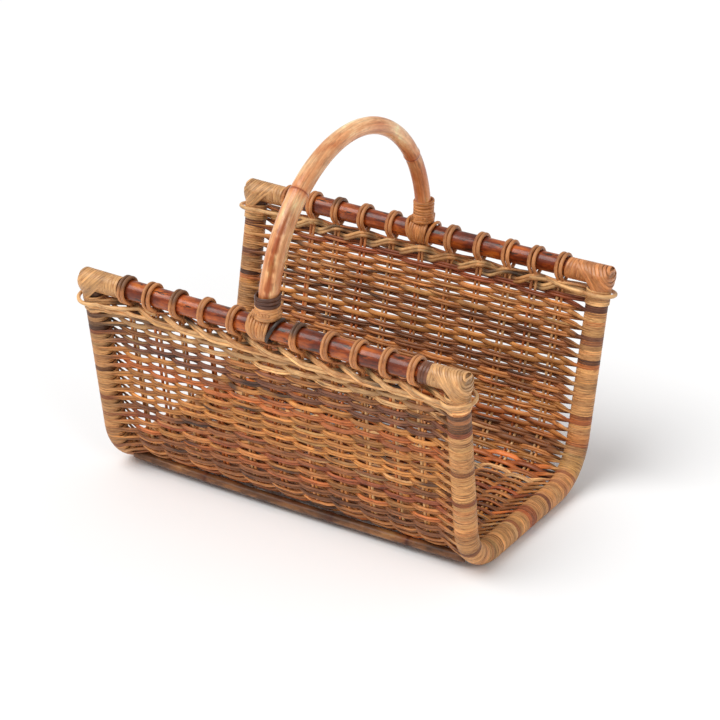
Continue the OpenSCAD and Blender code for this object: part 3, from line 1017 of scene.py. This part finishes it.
def over_rail(strands, side, top_x, middle_x, bottom_x, tone):
    """A strand that comes down from the leg, over the rail, round under it and up the other side."""
    theta = np.linspace(math.radians(62), math.radians(-242), 44)
    under = smooth((math.radians(20) - theta) / 1.9) * smooth((theta + math.radians(200)) / 1.9)
    rho = RAIL_R + 2.1 * MM
    y = rho * np.cos(theta)
    z = rho * np.sin(theta)
    x = middle_x + (bottom_x - middle_x) * under
    share = min(abs(top_x) / (HANDLE_R + 1 * MM), 1)
    top_y = (HANDLE_R * LEG_SCALE[side] + 2.5 * MM) * math.sqrt(1 - 0.8 * share**2)
    lead = np.linspace(1, 0, 7)[:-1]
    lead_x = top_x * lead + middle_x * (1 - lead)
    lead_y = top_y * lead + y[0] * (1 - lead) + 1.2 * MM * np.sin(math.pi * lead)
    lead_z = 24 * MM * lead + z[0] * (1 - lead)
    x = np.concatenate([lead_x, x, lead_x[::-1]])
    y = np.concatenate([lead_y, y, -lead_y[::-1]])
    z = np.concatenate([lead_z, z, lead_z[::-1]])
    path = eased(eased(np.stack([x, side * (RAIL_Y + y), RAIL_Z + z], 1)))
    up = np.stack([0.3 * x, side * y, np.where(z < 12 * MM, z, 0)], 1) + [0, 1e-6, 0]
    strands.sweep(path, up, 2.35 * MM, 1.6 * MM, tone)


def slanting_loop(strands, side, top_x, bottom_x, tone):
    """A loop round the rail that leans from its top to its bottom."""
    angle = np.linspace(0, 2 * math.pi, 44, endpoint=False)
    r = RAIL_R + 2.6 * MM
    x = (top_x + bottom_x) / 2 + (top_x - bottom_x) / 2 * np.sin(angle)
    path = np.stack([x, side * RAIL_Y + r * np.cos(angle), RAIL_Z + r * np.sin(angle)], 1)
    up = np.stack([0 * angle, np.cos(angle), np.sin(angle)], 1)
    strands.sweep(path, up, LASH_WIDTH, 2.2 * MM, tone, closed=True)


def lashing(side):
    """Turns round the leg, a skirt of strands over the rail and a slanting loop at each side."""
    name = FACING[side]
    front = side < 0
    rng = np.random.default_rng(51 + side)
    turn_tone = MAUVE * 0.42 if front else TAN * 1.05
    skirt_tone = (CREAM + TAN) * [0.5, 0.46, 0.43] if front else TAN * 1.1
    right_tone = DARK * 0.8 if front else TAN * 1.05
    middle = -7 * MM if front else -2 * MM
    band = Strands()
    for k in range(3):
        tone = turn_tone * rng.uniform(0.8, 1.2)
        leg_turn(band, side, (33 + 4.6 * k) * MM, 0.2 * MM * k, 1.0 * MM, tone)
    band.build(f"band_{name}", LASHING, "lashing_peel", f"handle_band_{name}")
    skirt = Strands()
    for k in range(4):
        tone = skirt_tone * rng.uniform(0.85, 1.08)
        leg_turn(skirt, side, (29 - 4.2 * k) * MM, 0.35 * MM * k, 0.8 * MM, tone)
    for k in range(7):
        fan = (k - 3) / 3
        tone = skirt_tone * rng.uniform(0.8, 1.08)
        at_leg = fan * 11 * MM * LEG_SCALE[side] + middle * 0.3
        at_rail = middle + fan * 13.5 * MM * LEG_SCALE[side]
        over_rail(skirt, side, at_leg, at_rail, middle * 0.8 + fan * 6 * MM, tone)
    skirt.build(f"skirt_{name}", PEEL, "binding_peel", f"handle_skirt_{name}")
    loops = Strands()
    slanting_loop(loops, side, 19 * MM, 4 * MM if front else 11 * MM, right_tone)
    slanting_loop(loops, side, -19 * MM + middle * 0.3, -9 * MM + middle * 0.4, skirt_tone * 0.85)
    loops.build(f"side_loops_{name}", LASHING, "lashing_peel", f"handle_side_loops_{name}")


# ---------------------------------------------------------------- stage

CAMERA_AT = (1.4361, -2.3443, 1.4730)
CAMERA_AZIMUTH = math.radians(31.1653)
CAMERA_ELEVATION = math.radians(25.4075)
CAMERA_ROLL = math.radians(1.1047)
CAMERA_LENS = 120.38
FLOOR_HALF = 30


def paint(node, material):
    """A shown CAD node's own material."""
    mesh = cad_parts[node].data
    mesh.materials.clear()
    mesh.materials.append(material)


def camera():
    """The camera, to the right of the front and above, rolled a little."""
    az, el, roll = CAMERA_AZIMUTH, CAMERA_ELEVATION, CAMERA_ROLL
    forward = Vector((-math.sin(az) * math.cos(el), math.cos(az) * math.cos(el), -math.sin(el)))
    level = forward.cross(Vector((0, 0, 1))).normalized()
    upright = level.cross(forward)
    right = math.cos(roll) * level + math.sin(roll) * upright
    up = math.cos(roll) * upright - math.sin(roll) * level
    data = bpy.data.cameras.new("camera")
    data.lens = CAMERA_LENS
    data.sensor_width = 36
    data.clip_end = 50
    obj = bpy.data.objects.new("camera", data)
    bpy.context.scene.collection.objects.link(obj)
    turn = Matrix((right, up, -forward)).transposed().to_4x4()
    obj.matrix_world = Matrix.Translation(CAMERA_AT) @ turn
    bpy.context.scene.camera = obj


def area_light(name, at, aim, size, power):
    """A round soft light at a place, turned to its aim."""
    data = bpy.data.lights.new(name, "AREA")
    data.shape = "DISK"
    data.size = size
    data.energy = power
    obj = bpy.data.objects.new(name, data)
    obj.location = at
    obj.rotation_euler = (Vector(aim) - Vector(at)).to_track_quat("-Z", "Y").to_euler()
    bpy.context.scene.collection.objects.link(obj)


def sun_light(name, towards, spread, strength):
    """A distant soft light, spread degrees wide."""
    data = bpy.data.lights.new(name, "SUN")
    data.angle = math.radians(spread)
    data.energy = strength
    obj = bpy.data.objects.new(name, data)
    obj.rotation_euler = Vector(towards).to_track_quat("Z", "Y").to_euler()
    bpy.context.scene.collection.objects.link(obj)


def pale_floor():
    """A plain floor, well past what the camera sees."""
    n = Nodes("floor")
    n.shader.inputs["Base Color"].default_value = (0.93, 0.93, 0.93, 1)
    n.shader.inputs["Roughness"].default_value = 0.9
    n.shader.inputs["Specular IOR Level"].default_value = 0.1
    mesh = bpy.data.meshes.new("floor")
    corners = [(x * FLOOR_HALF, y * FLOOR_HALF, 0) for x, y in ((-1, -1), (1, -1), (1, 1), (-1, 1))]
    mesh.from_pydata(corners, [], [(0, 1, 2, 3)])
    mesh.materials.append(n.material)
    floor = bpy.data.objects.new("floor", mesh)
    bpy.context.scene.collection.objects.link(floor)


def studio():
    """The floor, an even white surround and two soft lights."""
    pale_floor()
    world = bpy.data.worlds.new("studio")
    world.use_nodes = True
    background = world.node_tree.nodes["Background"]
    background.inputs["Color"].default_value = (1, 1, 1, 1)
    background.inputs["Strength"].default_value = 0.5
    bpy.context.scene.world = world
    bpy.context.scene.view_settings.view_transform = "Standard"
    sun_light("key", (-0.45, -0.7, 1.25), 45, 2.2)
    area_light("side", (2.2, -1.6, 1.9), (0, 0, 0.2), 1.2, 14)


weave()
stakes()
for facing in (-1, 1):
    border(facing)
    for hand in (-1, 1):
        corner_ring(facing, hand)
        corner_binding(facing, hand)
rails()
runners()
handle()
for facing in (-1, 1):
    lashing(facing)
for hand in ("left", "right"):
    paint(f"end_frame_{hand}", plain(f"frame_pole_{hand}", lin(92, 62, 42), 0.6))
steel = plain("nail_steel", lin(150, 150, 150), 0.35, 1.0)
paint("frame_nails", steel)
paint("handle_nails", steel)
studio()
camera()
